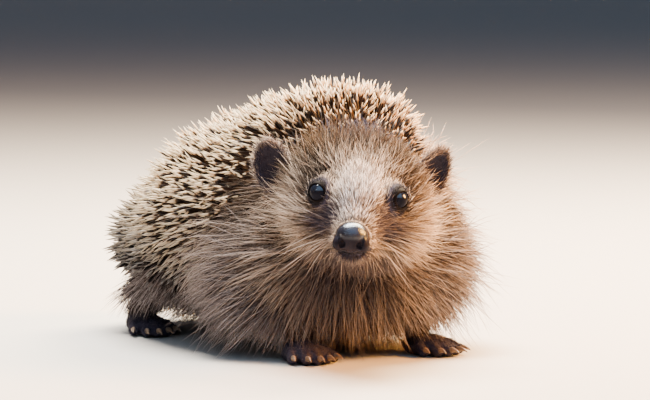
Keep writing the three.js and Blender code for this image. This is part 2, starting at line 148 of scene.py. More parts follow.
def skull(p):
    """The braincase, cheeks, brow, muzzle, whisker pads, temples and the flesh that holds the nose."""
    made = ellipsoid(p, (0, 0, 2), (20, 22, 15))
    for side in (1, -1):
        made = blend(6, made, ellipsoid(p, (9 * side, -10, -4), (9, 15, 9)))
    made = blend(6, made, ellipsoid(p, (0, -18, 3.5), (11, 14, 8.5)))
    made = blend(6, made, limb(p, (0, -22, -1), (0, -44, -4.4), 9.3, 4.4))
    for side in (1, -1):
        made = blend(2.5, made, ellipsoid(p, (3.4 * side, -41.5, -5.4), (2.6, 3.8, 2.7)))
        made = blend(5, made, limb(p, (8.5 * side, -11, 1.5), (10.4 * side, -20.5, 4.6), 6.5, 3.9))
    return blend(2, made, ellipsoid(p, (0, -45.5, -3.0), (5.5, 3.8, 4.9)))


def orbit(p):
    """The soft flesh round an eye, in the eye's own frame, and the opening that shows the eye."""
    return ellipsoid(p, (0, 0, -0.9), (4.0, 3.9, 4.2)), ellipsoid(p, (0, 0, 3.4), (3.3, 3.1, 3.2))


def jaw(p):
    return blend(5, limb(p, (0, -6, -11), (0, -39, -9.3), 7, 2.7), ellipsoid(p, (0, -8, -10), (12, 13, 6)))


def ear(p):
    """A cupped leaf that stands along Z and opens towards -Y."""
    half_tall = EAR_HEIGHT / 2 * (1 + 0.08 * np.clip((p[2] - EAR_MIDDLE) / 10.5, -1, 1))
    radius = np.sqrt((p[0] / (EAR_WIDTH / 2)) ** 2 + ((p[2] - EAR_MIDDLE) / half_tall) ** 2)
    middle = EAR_CUP * (1 - radius * radius) + EAR_WALL * 0.5
    slope = 2 * EAR_CUP * np.minimum(radius, 1.3) / (EAR_WIDTH / 2)
    half_wall = EAR_WALL * (0.55 - 0.1 * np.minimum(radius, 1))
    across = np.abs(p[1] - middle) / np.sqrt(1 + slope * slope) - half_wall
    return hollow(0.8, across, (1 - radius) * EAR_WIDTH / 2)


def shank(p, plan, side):
    turn, origin = foot_place(plan, side)
    knee = (plan["knee"][0] * side, plan["knee"][1], plan["knee"][2])
    ankle = turn @ np.array([0, -plan["length"] * 0.16, 7.0]) + origin
    return limb(p, knee, ankle, 7.5, 3.6)


def foot(p, plan):
    """The palm, its five toes and the pads they stand on."""
    length, width = plan["length"], plan["width"]
    made = ellipsoid(p, (0, -length * 0.42, 2.6), (width * 0.44, length * 0.48, 4.0))
    for _, root, tip, way in toes(plan):
        knuckle = (root + tip) / 2 + np.array([0, 0, 0.9])
        toe = blend(0.8, limb(p, root, knuckle, 1.5, 1.45), limb(p, knuckle, tip, 1.45, 1.7))
        made = blend(1.2, made, toe)
    return made


def tail(p):
    return limb(p, (0, 79, 27), (2, 100, 13), 3.8, 1.3)


def grid_lines(start, *stretches):
    """Grid lines that run on to the end of each stretch at about its own spacing."""
    lines = [np.array([start])]
    for end, spacing in stretches:
        count = round((end - start) / spacing)
        lines.append(np.linspace(start, end, count + 1)[1:])
        start = end
    return np.concatenate(lines).astype(np.float32)


def spread(lines):
    """The points of a grid as three arrays, each of which runs along its own axis."""
    return [line.reshape([-1 if j == i else 1 for j in range(3)]) for i, line in enumerate(lines)]


def region(lines, low, high):
    """The part of a grid between two corners: its slices, and its points as three arrays."""
    cut = tuple(slice(*np.searchsorted(lines[i], (low[i], high[i]))) for i in range(3))
    return cut, spread([lines[i][cut[i]] for i in range(3)])


def surface(lines, field):
    """The closed surface where a field is zero: points in millimetres, and outward quads."""
    grid = openvdb.FloatGrid(background=3.0)
    grid.copyFromArray(np.clip(field, -3, 3).astype(np.float32))
    points, quads = grid.convertToQuads(isovalue=0.0)
    return np.stack([np.interp(points[:, i], np.arange(len(lines[i])), lines[i]) for i in range(3)], 1), quads


lines = (
    grid_lines(-43, (47, 0.62)),
    grid_lines(-112, (-27, 0.58), (26, 2.4), (64, 1.0), (104, 2.4)),
    grid_lines(-1, (9, 0.5), (37, 1.3), (82, 0.58)),
)
grid = spread(lines)
barrel, *others = MASSES.values()
flesh = ellipsoid(grid, *barrel)
for mass in others:
    flesh = blend(12, flesh, ellipsoid(grid, *mass))


def melt(k, part, low, high):
    """Melts a part into the flesh between two corners."""
    cut, p = region(lines, low, high)
    flesh[cut] = blend(k, flesh[cut], part(p))


head_low, head_high = (-43, -112, 18), (47, -14, 82)
melt(10, lambda p: skull(local(HEAD, p)), head_low, head_high)
melt(4, lambda p: jaw(local(HEAD, p)), head_low, head_high)
cut, p = region(lines, head_low, head_high)
for side in (1, -1):
    mound, opening = orbit(local(eye_place(side), p))
    flesh[cut] = hollow(0.8, blend(3.5, flesh[cut], mound), opening)
mouth_line = ellipsoid(local(HEAD, p), (0, -37, -8.2), (8.5, 10, 0.6))
flesh[cut] = hollow(0.7, flesh[cut], mouth_line)
for name, place in EAR_PLACES.items():
    cut, p = region(lines, place[1] - 25, place[1] + 25)
    q = local(place, p)
    outward = 4.5 if name == "left" else -4.5
    before_ear = ellipsoid(q, (outward, -5.0, 8.0), (13, 8.6, 14))
    flesh[cut] = blend(1.6, hollow(4, flesh[cut], before_ear), ear(q))
for (kind, side), plan in LEGS.items():
    knee = np.array(plan["knee"]) * (side, 1, 1)
    place = foot_place(plan, side)
    melt(5, lambda p: shank(p, plan, side), knee - (18, 18, 40), knee + (18, 52, 14))
    melt(2.5, lambda p: foot(local(place, p), plan), place[1] - (16, 42, 1), place[1] + (16, 8, 14))
melt(4, tail, (-9, 68, 6), (11, 104, 37))
flesh = np.maximum(flesh, -grid[2])
hide_points, hide_quads = surface(lines, flesh)


def mesh_of(name, points, faces, material):
    """A smooth mesh piece from points in millimetres and a list of faces."""
    mesh = bpy.data.meshes.new(name)
    mesh.from_pydata(points * MM, [], faces)
    mesh.shade_smooth()
    mesh.materials.append(material)
    piece = bpy.data.objects.new(name, mesh)
    bpy.context.collection.objects.link(piece)
    return piece


ATTRIBUTES = {1: ("FLOAT", "value"), 3: ("FLOAT_VECTOR", "vector"), 4: ("FLOAT_COLOR", "color")}


def write(mesh, name, values):
    """Stores a number, a vector or a colour for each point of a mesh."""
    values = np.ascontiguousarray(values, dtype=np.float32)
    kind, slot = ATTRIBUTES[values.size // len(values)]
    mesh.attributes.new(name, kind, "POINT").data.foreach_set(slot, values.ravel())


def station_of(p):
    """How far back a point lies along the bent body: its Y on the trunk, counted on through the neck."""
    level = -HEAD[0][:2, 1] / np.linalg.norm(HEAD[0][:2, 1])
    offset = [p[i] - NECK[i] for i in range(2)]
    on_head = NECK[1] - offset[0] * level[0] - offset[1] * level[1]
    bisector = (level + (0, -1)) / np.linalg.norm(level + (0, -1))
    behind = rise(-20, 20, -(offset[0] * bisector[0] + offset[1] * bisector[1]))
    return on_head + (p[1] - on_head) * behind


def above_fringe(p):
    """How far a point stands above the line where the quills give way to fur."""
    station = station_of(p)
    shoulder = 35 * (1 - rise(-22, -8, station))
    left_shoulder = 8 * rise(8, 26, p[0]) * (1 - rise(-32, -14, station))
    brow = 24 * (1 - rise(-59, -46, station))
    rump = -3 * rise(23, 83, station)
    return p[2] - (27 + shoulder + left_shoulder + brow + rump)


def on_ear(p):
    """One on an ear's leaf, falling to zero where it joins the head."""
    near = [1 - rise(0.2, 1.4, ear(q)) for q in (local(place, p) for place in EAR_PLACES.values())]
    return np.maximum(*near)


def on_foot(p):
    """One on a foot, falling to zero round its ankle."""
    feet = [foot(local(foot_place(plan, side), p), plan) for (_, side), plan in LEGS.items()]
    return 1 - rise(0.5, 2.5, np.minimum.reduce(feet))


def ear_gap(p):
    """The distance from a point to the middle of the nearer ear."""
    owner = [local(place, p) for place in EAR_PLACES.values()]
    return np.minimum(*(length_of((q[0], q[1], 0.82 * (q[2] - 4.5))) for q in owner))


def quilled_at(p):
    """How much of the coat is quills at a point: one over the back, none by the ears and the tail."""
    return rise(-4, 5, above_fringe(p)) * rise(13, 19, ear_gap(p)) * (1 - rise(78, 82, p[1]))


def marks_at(p):
    """The markings at points: how pale, dark, rusty and grey. Some dark, rust and grey is painted shade:
    under the chin, in the ear cups, under the quills and low on the body. Past 1, dark turns from brown to
    black.
    """
    q = local(HEAD, p)
    side, ahead, up = np.abs(q[0]), -q[1], q[2]
    face = (side, q[1], up)
    over, station, leaf = above_fringe(p), station_of(p), on_ear(p)

    half_blaze = 3.2 + 0.16 * np.clip(44 - ahead, 0, 30)
    blaze = 1 - rise(0.55 * half_blaze, 1.35 * half_blaze, side)
    along_face = (0.12 * rise(2, 12, ahead) + 0.88 * rise(19, 35, ahead)) * (1 - rise(40, 44, ahead))
    pale = blaze * along_face * rise(-4, 0, up) * (1 - 0.9 * rise(-24, -14, over))

    patch = ellipsoid(face, (8.6, -31.0, -1.6), (4.6, 9.5, 5.2))
    eye_rim = ellipsoid(face, (12.6, -25.4, 5.4), (3.9, 3.9, 4.2))
    mouth = ellipsoid(face, (0, -43.5, -7.3), (5.3, 6.2, 2.3))
    # Painted shade: the underside of the jaw is darkened and browned to stand for the shade under the chin.
    painted_chin_shade = (1 - rise(-12, -8.6, up)) * (1 - rise(9, 19, side))
    painted_chin_shade = painted_chin_shade * rise(-8, 12, ahead) * (1 - rise(42, 46, ahead))
    dark = np.maximum.reduce([
        0.92 * (1 - rise(-2.4, 2.8, patch)),
        1.9 * (1 - rise(-0.3, 1.0, eye_rim)),
        1.8 * (1 - rise(-0.5, 1.2, mouth)),
        # The ears and the hide round their roots are nearly black: partly their own dark skin and down,
        # partly painted shade in the cups.
        1.6 * (1 - rise(6.5, 9.5, ear_gap(p))),
        1.6 * leaf,
        0.75 * on_foot(p),
        0.5 * painted_chin_shade,
    ])

    # Rust round the fringe of the quills: partly the hair's own rusty brown, partly painted shade under the
    # overhanging quills; the chin's painted shade adds to it.
    upper = np.maximum(rise(-28, -15, over), rise(-25, -8, -ahead) * rise(2, 8, up))
    rust_and_shade = np.maximum(upper * (1 - rise(-54, -40, station)) * (1 - leaf), 0.6 * painted_chin_shade)
    # Greyer and darker low on the body: partly the coat's own grey, partly painted shade.
    grey_and_shade = rise(-66, -44, station) * (1 - rise(26, 60, p[2]))
    return np.stack([pale, dark, rust_and_shade, grey_and_shade], 1)


def tint(red, green, blue):
    """A colour from its usual 0 to 255 values, as a shader's own."""
    return (*(((c / 255 + 0.055) / 1.055) ** 2.4 for c in (red, green, blue)), 1)


class Nodes:
    """Adds nodes to a tree and joins them up."""

    def __init__(self, tree):
        self.tree = tree

    def add(self, kind, settings=None, **inputs):
        node = self.tree.nodes.new(kind)
        for name, value in (settings or {}).items():
            setattr(node, name, value)
        for name, value in inputs.items():
            self.put(node, name.replace("_", " "), value)
        return node

    def put(self, node, name, value):
        """Sets or links an input by its name, or by its number written like i0."""
        index = int(name[1:]) if name[0] == "i" and name[1:].isdigit() else name
        socket = node.inputs[index]
        if isinstance(value, bpy.types.NodeSocket):
            self.tree.links.new(value, socket)
        else:
            socket.default_value = value

    def attribute(self, name, output="Fac"):
        return self.add("ShaderNodeAttribute", {"attribute_name": name}).outputs[output]

    def mix(self, amount, a, b):
        """Colour a turning into colour b."""
        return self.add("ShaderNodeMix", {"data_type": "RGBA"}, i0=amount, i6=a, i7=b).outputs[2]

    def filter(self, amount, a, b):
        """Colour a, more and more multiplied by colour b."""
        settings = {"data_type": "RGBA", "blend_type": "MULTIPLY"}
        return self.add("ShaderNodeMix", settings, i0=amount, i6=a, i7=b).outputs[2]

    def texture(self, kind, settings=None, **inputs):
        place = self.add("ShaderNodeTexCoord").outputs["Object"]
        return self.add(kind, settings, Vector=place, **inputs).outputs[0]

    def cloud(self, scale, detail):
        return self.texture("ShaderNodeTexNoise", Scale=scale, Detail=detail)

    def cracks(self, scale):
        """How far each place is from the nearest edge between cells."""
        return self.texture("ShaderNodeTexVoronoi", {"feature": "DISTANCE_TO_EDGE"}, Scale=scale)

    def math(self, operation, a, b=0.0, clamp=True):
        return self.add("ShaderNodeMath", {"operation": operation, "use_clamp": clamp}, i0=a, i1=b).outputs[0]


def coat_colours():
    """The colour of the coat and of the skin under it, from the markings that both of them carry, painted
    shade among them.
    """
    tree = bpy.data.node_groups.new("coat colours", "ShaderNodeTree")
    for name in ("Root", "Tip", "Pale", "Dark", "Rust", "Grey", "Black"):
        tree.interface.new_socket(name, in_out="INPUT", socket_type="NodeSocketColor")
    tree.interface.new_socket("Color", in_out="OUTPUT", socket_type="NodeSocketColor")
    n = Nodes(tree)
    colours = n.add("NodeGroupInput").outputs
    along, tone = n.attribute("along"), n.attribute("tone")
    marks = n.add("ShaderNodeAttribute", {"attribute_name": "marks"})
    parts = n.add("ShaderNodeSeparateColor", i0=marks.outputs["Color"]).outputs
    vigour = n.math("SUBTRACT", n.math("MULTIPLY", tone, 2.1, clamp=False), 0.3, clamp=False)
    grown = n.math("MULTIPLY", n.math("POWER", along, 1.3), vigour)
    colour = n.mix(grown, colours["Root"], colours["Tip"])
    # Rust and Grey darken by multiplying: partly the coat's own colour, partly painted shade.
    colour = n.filter(parts[2], colour, colours["Rust"])
    colour = n.filter(marks.outputs["Alpha"], colour, colours["Grey"])
    pale = n.math("MULTIPLY", parts[0], n.math("MULTIPLY", grown, 1.2))
    colour = n.mix(pale, colour, colours["Pale"])
    dark = n.math("MULTIPLY", parts[1], n.math("SUBTRACT", 1.1, n.math("MULTIPLY", grown, 0.35)))
    colour = n.mix(dark, colour, colours["Dark"])
    colour = n.mix(n.math("SUBTRACT", parts[1], 1.0), colour, colours["Black"])
    n.put(n.add("NodeGroupOutput"), "Color", colour)
    return tree


COAT_COLOURS = coat_colours()
COAT_TINTS = {
    "Root": tint(50, 39, 34),
    "Tip": tint(205, 184, 166),
    "Pale": tint(192, 184, 186),
    "Dark": tint(58, 56, 74),
    "Rust": tint(86, 68, 38),
    "Grey": tint(172, 178, 198),
    "Black": tint(12, 10, 11),
}


def principled(name, **settings):
    """A material with its own Principled shader, and the tree to add its nodes to."""
    material = bpy.data.materials.new(name)
    material.use_nodes = True
    shader = material.node_tree.nodes["Principled BSDF"]
    for setting, value in settings.items():
        shader.inputs[setting.replace("_", " ")].default_value = value
    return material, Nodes(material.node_tree), shader


def bump(n, shader, height, strength, distance):
    made = n.add("ShaderNodeBump", Height=height, Strength=strength, Distance=distance)
    n.put(shader, "Normal", made.outputs["Normal"])


skin, n, shader = principled("skin", Roughness=0.62, Specular_IOR_Level=0.06)
colour = n.add("ShaderNodeGroup", {"node_tree": COAT_COLOURS}, **COAT_TINTS)
mottle = n.cloud(420.0, 5.0)
pores = n.cracks(1300.0)
shaded = n.mix(n.math("MULTIPLY", mottle, 0.4), colour.outputs[0], tint(30, 23, 21))
# The hide under the quills is darker: partly the dark underfur's colour, partly painted shade between the
# quills.
n.put(shader, "Base Color", n.mix(n.attribute("quilled"), shaded, tint(26, 19, 16)))
bump(n, shader, n.math("ADD", n.math("MULTIPLY", pores, 0.8), mottle), 0.5, 0.0004)

hide = mesh_of("hide", hide_points, hide_quads.tolist(), skin)
write(hide.data, "marks", marks_at(hide_points.T))
write(hide.data, "quilled", quilled_at(hide_points.T))
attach(hide, "root")
pairs = ("ear", "foreleg", "forefoot", "hindleg", "hindfoot")
pairs = [f"{part}_{side}" for part in pairs for side in ("left", "right")]
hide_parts("back", "belly", "nape", "throat", "head", "lower_jaw", "tail", *pairs)


# ---------------------------------------------------------------- eyes and lids
# Two small black eyes, glossy and a little bulged at the front, each deep in a fold of bare dark
# lid that closes round it like a rim. The lids are cut from a ball a little larger than the eye.

def ring_sides(rings, sides, start=0):
    """The quads between rings of points that follow each other from the point numbered start."""
    quads = []
    for i in range(sides):
        a, b = start + i, start + (i + 1) % sides
        rows = [k * sides for k in range(rings - 1)]
        quads += [(row + a, row + sides + a, row + sides + b, row + b) for row in rows]
    return quads


def globe(place, rings=27, sides=40):
    """An eye as rings of points from the front of the cornea round to the back, and their faces."""
    angles = np.linspace(0, math.pi, rings + 2)[1:-1]
    bulge = 0.3 * np.exp(-((angles / 0.5) ** 2))
    wide, up = (EYE_RADIUS + bulge) * np.sin(angles), (EYE_RADIUS + bulge) * np.cos(angles)
    around = np.arange(sides) * 2 * math.pi / sides
    ring = [np.outer(wide, np.cos(around)), np.outer(wide, np.sin(around)), np.outer(up, np.ones(sides))]
    ring = np.stack(ring, 2).reshape(-1, 3)
    points = np.concatenate([ring, [(0, 0, EYE_RADIUS + 0.3), (0, 0, -EYE_RADIUS)]])
    faces, last = ring_sides(rings, sides), (rings - 1) * sides
    for j in range(sides):
        k = (j + 1) % sides
        faces += [(len(ring), j, k), (len(ring) + 1, last + k, last + j)]
    return points @ place[0].T + place[1], faces


def joined(name, pieces, material):
    """One mesh piece from several lists of points and faces."""
    points, faces = [], []
    for made, sides in pieces:
        start = sum(len(p) for p in points)
        faces += [tuple(start + index for index in side) for side in sides]
        points.append(made)
    return mesh_of(name, np.concatenate(points), faces, material)


wet_eye, n, shader = principled("wet eye", Roughness=0.04, Specular_Tint=(0.78, 0.89, 1.0, 1.0))
n.put(shader, "Specular IOR Level", n.math("ADD", n.math("MULTIPLY", n.attribute("wet"), 0.95), 0.01))
cloud = n.cloud(900.0, 3.0)
# Near black with a bluish grey haze over it: the haze is painted reflection.
n.put(shader, "Base Color", n.mix(cloud, tint(8, 9, 13), tint(30, 31, 42)))
globes = [globe(eye_place(side)) for side in (1, -1)]
eyes = joined("eyes", globes, wet_eye)
above = [points[:, 2] - eye_place(side)[1][2] for (points, _), side in zip(globes, (1, -1))]
write(eyes.data, "wet", rise(0.0, 1.2, np.concatenate(above)))
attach(eyes, "root")
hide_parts("eye_left", "eye_right")


def lid(p):
    """The lids round an eye: a thin shell, open in front in an almond, with a soft rolled rim."""
    shell = hollow(0.2, length_of(p) - EYE_RADIUS - 0.42, length_of(p) - EYE_RADIUS - 0.1)
    return hollow(0.5, shell, ellipsoid(p, (0, 0, 4.2), (3.2, 2.85, 3.7)))


lid_lines = [grid_lines(-5.2, (5.2, 0.16))] * 3
lid_points, lid_quads = surface(lid_lines, lid(spread(lid_lines)))
rims = [(lid_points @ turn.T + origin, lid_quads.tolist()) for turn, origin in (eye_place(1), eye_place(-1))]
lid_skin, n, shader = principled("lid skin", Roughness=0.6, Specular_IOR_Level=0.03)
wrinkle = n.cloud(1600.0, 4.0)
n.put(shader, "Base Color", n.mix(wrinkle, tint(8, 6, 7), tint(20, 16, 16)))
bump(n, shader, wrinkle, 0.5, 0.0003)
lids = joined("lids", rims, lid_skin)
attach(lids, "root")


# ---------------------------------------------------------------- nose
# The bare wet nose pad at the end of the snout: black, finely cobbled, with a comma nostril on each
# side and a groove down its middle to the lip.

def nose_pad(p):
    """The pad with its two wings, the nostrils, the slits that run up from them, and the groove."""
    made = ellipsoid(p, (0, 0, 0), NOSE_RADII)
    for side in (1, -1):
        made = blend(0.9, made, ellipsoid(p, (3.9 * side, -1.5, -1.9), (1.9, 2.7, 2.2)))
    for side in (1, -1):
        made = hollow(0.5, made, ellipsoid(p, (2.7 * side, -3.7, -1.9), (0.95, 1.9, 1.2)))
        made = hollow(0.5, made, limb(p, (3.0 * side, -3.7, -1.3), (3.9 * side, -3.1, 1.2), 0.62, 0.3))
    made = hollow(0.6, made, limb(p, (0, -4.5, -1.2), (0, -2.4, -5.0), 0.3, 0.6))
    return made


nose_lines = [grid_lines(-7, (7, 0.2))] * 3
nose_points, nose_quads = surface(nose_lines, nose_pad(spread(nose_lines)))
nose_skin, n, shader = principled("nose skin", Roughness=0.23, Specular_Tint=(0.68, 0.82, 1.0, 1.0))
cobbles = n.cracks(2100.0)
cloud = n.cloud(380.0, 4.0)
# Bluish black lifted towards slate: the lift is painted sheen.
n.put(shader, "Base Color", n.mix(cloud, tint(15, 14, 18), tint(38, 35, 43)))
bump(n, shader, cobbles, 0.3, 0.0003)
n.put(shader, "Specular IOR Level", n.math("ADD", n.attribute("wet"), 0.01))
nose_turn, nose_origin = nested(HEAD, np.eye(3), NOSE_AT)
nose = mesh_of("nose_pad", nose_points @ nose_turn.T + nose_origin, nose_quads.tolist(), nose_skin)
write(nose.data, "wet", rise(-0.4, 1.8, nose_points[:, 2]))
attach(nose, "root")
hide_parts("nose")


# ---------------------------------------------------------------- claws
# Five claws of grained brown horn to a foot, each a rod that tapers along an arc and comes out of
# the end of its toe.

CLAW_BEND = math.radians(55)
CLAW_LEVEL = CLAW_BEND * 0.42  # how far along its arc a claw points straight ahead
CLAW_RADIUS = 1.1


def claw(tip, way, length, rings=9, sides=10):
    """A claw from the end of a toe: rings of points along an arc, its point, and their faces."""
    up, across = np.array([0, 0, 1]), np.cross(way, (0, 0, 1))
    radius = length / CLAW_BEND

    def centre(turn):
        ahead = 0.6 + radius * (math.sin(turn) + math.sin(CLAW_LEVEL))
        return tip + way * ahead + up * (0.5 + radius * (math.cos(turn) - math.cos(CLAW_LEVEL)))

    points = []
    for k in range(rings):
        turn = k / rings * CLAW_BEND - CLAW_LEVEL
        sunk = way * (0.9 if k == 0 else 0)
        tall = up * math.cos(turn) + way * math.sin(turn)
        thick = CLAW_RADIUS * (1 - 0.92 * (k / rings) ** 1.3)
        for i in range(sides):
            angle = i / sides * 2 * math.pi
            spoke = across * math.cos(angle) * 0.8 + tall * math.sin(angle)
            points.append(centre(turn) - sunk + spoke * thick)
    points.append(centre(CLAW_BEND - CLAW_LEVEL))
    last = (rings - 1) * sides
    point = [(last + i, len(points) - 1, last + (i + 1) % sides) for i in range(sides)]
    return np.array(points), [tuple(range(sides)), *ring_sides(rings, sides), *point]


horn, n, shader = principled("claw horn", Roughness=0.34, Coat_Weight=0.2)
grain = n.cloud(700.0, 4.0)
n.put(shader, "Base Color", n.mix(grain, tint(58, 44, 36), tint(168, 142, 118)))
bump(n, shader, grain, 0.3, 0.0002)
for (kind, side), plan in LEGS.items():
    turn, origin = foot_place(plan, side)
    made = []
    for fan, _, tip, way in toes(plan):
        tip[2] = 1.68
        points, faces = claw(tip, way, plan["claw"] * (1 - 0.08 * abs(fan)))
        made.append((points @ turn.T + origin, faces))
    flank = "left" if side > 0 else "right"
    claws = joined(f"claws_{kind}_{flank}", made, horn)
    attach(claws, "root")
    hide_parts(*(f"claw_{kind}_{flank}_{i}" for i in range(1, 6)))


# ---------------------------------------------------------------- the coat's strands
# Every quill and hair is a thin tapered rod of horn, closed at both ends, planted on the hide and
# leaning back along it. One tree of nodes plants, bends and colours them all from marked roots.

def strand(name, sides, profile):
    """A rod one unit tall and one unit in radius, as rings at (height, radius) up to a point."""
    points, faces, patches = [], [], []
    for height, radius in profile:
        for i in range(sides):
            angle = i / sides * 2 * math.pi
            points.append((radius * math.cos(angle), radius * math.sin(angle), height))
    points.append((0, 0, 1))
    faces.append(tuple(reversed(range(sides))))
    patches += [(i / sides, 0.05 * (i % 2)) for i in reversed(range(sides))]
    for k in range(len(profile)):
        for i in range(sides):
            a, b = k * sides + i, k * sides + (i + 1) % sides
            low = profile[k][0]
            left, right = i / sides, (i + 1) / sides
            if k < len(profile) - 1:
                faces.append((a, b, b + sides, a + sides))
                high = profile[k + 1][0]
                patches += [(left, low), (right, low), (right, high), (left, high)]
            else:
                faces.append((a, b, len(points) - 1))
                patches += [(left, low), (right, low), ((left + right) / 2, 1)]
    mesh = bpy.data.meshes.new(name)
    mesh.from_pydata(points, [], faces)
    mesh.shade_smooth()
    write(mesh, "along", [point[2] for point in points])
    layer = mesh.attributes.new("patch", "FLOAT2", "CORNER")
    layer.data.foreach_set("vector", np.array(patches, dtype=np.float32).ravel())
    return bpy.data.objects.new(name, mesh)


def coat_tree():
    """Plants a strand on every root, leans it along aim, bends it and gives it its place on the map."""
    tree = bpy.data.node_groups.new("coat", "GeometryNodeTree")
    for name, kind in (("Roots", "Geometry"), ("Strand", "Object"), ("Length", "Float"), ("Radius", "Float"),
                       ("Patch", "Float"), ("Seed", "Int"), ("Material", "Material")):
        tree.interface.new_socket(name, in_out="INPUT", socket_type=f"NodeSocket{kind}")
    tree.interface.new_socket("Coat", in_out="OUTPUT", socket_type="NodeSocketGeometry")
    n = Nodes(tree)
    inputs = n.add("NodeGroupInput").outputs

    def named(name, kind="FLOAT_VECTOR"):
        return n.add("GeometryNodeInputNamedAttribute", {"data_type": kind}, Name=name).outputs[0]

    def vector(operation, a, b, c=(0, 0, 0)):
        return n.add("ShaderNodeVectorMath", {"operation": operation}, i0=a, i1=b, i2=c).outputs[0]

    rod = n.add("GeometryNodeObjectInfo", Object=inputs["Strand"], As_Instance=True)
    spin = n.add("FunctionNodeRandomValue", {"data_type": "FLOAT"}, i2=0.0, i3=6.283, Seed=inputs["Seed"])
    spun = n.add("ShaderNodeCombineXYZ", Z=spin.outputs[1])
    aim = named("aim")
    turn = n.add("FunctionNodeAlignRotationToVector", {"axis": "Z"}, Rotation=spun.outputs[0], Vector=aim)
    full = n.add("ShaderNodeCombineXYZ", X=inputs["Radius"], Y=inputs["Radius"], Z=inputs["Length"])
    planted = n.add(
        "GeometryNodeInstanceOnPoints", Points=inputs["Roots"], Instance=rod.outputs["Geometry"],
        Rotation=turn.outputs[0], Scale=vector("MULTIPLY", named("size"), full.outputs[0]),
    )
    solid = n.add("GeometryNodeRealizeInstances", Geometry=planted.outputs[0])
    along = named("along", "FLOAT")
    squared = n.add("ShaderNodeMath", {"operation": "MULTIPLY"}, i0=along, i1=along).outputs[0]
    offset = vector("MULTIPLY", named("bend"), squared)
    bent = n.add("GeometryNodeSetPosition", Geometry=solid.outputs[0], Offset=offset)
    spot = vector("MULTIPLY_ADD", named("patch"), inputs["Patch"], named("patch_at"))
    mapped = n.add(
        "GeometryNodeStoreNamedAttribute", {"data_type": "FLOAT2", "domain": "CORNER"},
        Geometry=bent.outputs[0], Name="OFBake", Value=spot,
    )
    coated = n.add("GeometryNodeSetMaterial", Geometry=mapped.outputs[0], Material=inputs["Material"])
    n.put(n.add("NodeGroupOutput"), "Coat", coated.outputs[0])
    return tree


COAT = coat_tree()
PATCH = 0.003  # how much of its map each strand takes
SHORT = strand("short hair", 3, ((0, 0.8), (0.5, 0.85)))
MIDDLE = strand("hair", 3, ((0, 0.7), (0.35, 1), (0.72, 0.7)))
QUILL = strand("quill", 5, ((0, 0.5), (0.12, 1), (0.62, 1), (0.86, 0.62)))


def coat_piece(name, roots, rod, length, radius, material):
    """One piece of coat, its roots planted with rods of a usual length and radius in millimetres."""
    mesh = bpy.data.meshes.new(name)
    mesh.vertices.add(len(roots["at"]))
    mesh.vertices.foreach_set("co", np.ascontiguousarray(roots["at"] * MM, dtype=np.float32).ravel())
    uv = roots["unwrap"]
    span = uv.max(0) - uv.min(0)
    uv = (uv - uv.min(0)) / span * (1 - PATCH * 2) + PATCH / 2
    write(mesh, "patch_at", np.column_stack([uv, np.zeros(len(uv))]))
    write(mesh, "bend", roots["bend"] * MM)
    for kept in ("aim", "size", "tone", "marks"):
        write(mesh, kept, roots[kept])
    piece = bpy.data.objects.new(name, mesh)
    bpy.context.collection.objects.link(piece)
    modifier = piece.modifiers.new("coat", "NODES")
    modifier.node_group = COAT
    values = {"Strand": rod, "Length": length * MM, "Radius": radius * MM}
    values |= {"Patch": PATCH, "Seed": 7, "Material": material}
    for socket in COAT.interface.items_tree:
        if socket.name in values:
            modifier[socket.identifier] = values[socket.name]
    bpy.context.view_layer.update()
    solid = bpy.data.meshes.new_from_object(piece.evaluated_get(bpy.context.evaluated_depsgraph_get()))
    piece.modifiers.clear()
    piece.data = solid
    bpy.data.meshes.remove(mesh)
    solid.name = name
    for spare in ("patch", "patch_at", "aim", "bend", "size"):
        if spare in solid.attributes:
            solid.attributes.remove(solid.attributes[spare])
    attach(piece, "root")


# ---------------------------------------------------------------- roots on the hide
# Where the strands grow: points scattered over the hide as thickly as each kind needs, each with its
# normal and with the way the coat lies there, out from the nose over the head and back on the body.

hide_normals = np.empty(len(hide_points) * 3, dtype=np.float32)
hide.data.vertices.foreach_get("normal", hide_normals)
hide_normals = hide_normals.reshape(-1, 3)
triangles = np.concatenate([hide_quads[:, [0, 1, 2]], hide_quads[:, [0, 2, 3]]])
corners = hide_points[triangles]
edges = corners[:, 1:] - corners[:, :1]
areas = np.linalg.norm(np.cross(edges[:, 0], edges[:, 1]), axis=1) / 2


def scatter(density, seed):
    """Random roots and their normals, at a density for each point of the hide, in roots per mm2."""
    rng = np.random.default_rng(seed)
    expected = np.cumsum(areas * density[triangles].mean(1))
    count = int(expected[-1])
    picks = (np.arange(count) + rng.random(count)) * expected[-1] / count
    chosen = np.searchsorted(expected, picks).clip(0, len(triangles) - 1)
    a, b = rng.random((2, count))
    fold = a + b > 1
    a, b = np.where(fold, 1 - a, a), np.where(fold, 1 - b, b)
    shares = np.stack([1 - a - b, a, b], 1)[:, :, None]
    at = (hide_points[triangles[chosen]] * shares).sum(1)
    normal = (hide_normals[triangles[chosen]] * shares).sum(1)
    return at, unit(normal)


def unit(vectors):
    return vectors / (np.linalg.norm(vectors, axis=1, keepdims=True) + 1e-9)


def flat_on(normal, way):
    """Unit vectors along the hide, as near to a way as it allows."""
    return unit(way - normal * (way * normal).sum(1, keepdims=True))


NOSE_TIP = np.array([-32.6, -98.7, 45.0])


def lie(at, normal, down=0.45):
    """The way the coat lies at each root, along the hide: unit vectors."""
    from_nose = unit(at - NOSE_TIP)
    back = np.zeros_like(at) + (0, 1, 0)
    back[:, 2] = -down * (1 - rise(40, 75, at[:, 2]))
    on_body = rise(-52, -12, station_of(at.T))[:, None]
    way = from_nose * (1 - on_body) + unit(back) * on_body
    way[:, 2] -= 0.12 * rise(-78, -50, station_of(at.T)) * (1 - rise(52, 66, at[:, 2]))
    return flat_on(normal, way)


